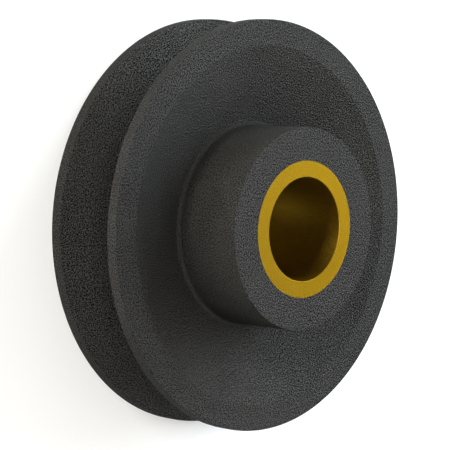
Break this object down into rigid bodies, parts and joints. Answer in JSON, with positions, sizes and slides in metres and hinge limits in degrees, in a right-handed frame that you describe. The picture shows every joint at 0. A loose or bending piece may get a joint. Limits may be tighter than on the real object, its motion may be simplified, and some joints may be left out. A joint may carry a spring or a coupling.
{
  "type": "idler pulley",
  "caption": "Cast iron idler pulley with a V-belt groove, dished sides and a long hub, turning on a bronze bushing pressed through its bore.",
  "frame": {"origin": "on the bore's axis, in the plane of the back face that it lies on", "axes": "+Z along the bore towards the long end of the hub; X and Y in the plane of the back face"},
  "size_m": [0.1016, 0.1016, 0.0349],
  "materials": {
    "cast_iron": "matte dark grey sand-cast skin with fine grain",
    "bronze": "satin golden bearing bronze, turned"
  },
  "bodies": {
    "root": {"pulley_casting": "cast_iron", "bronze_bushing": "bronze"}
  },
  "joints": []
}
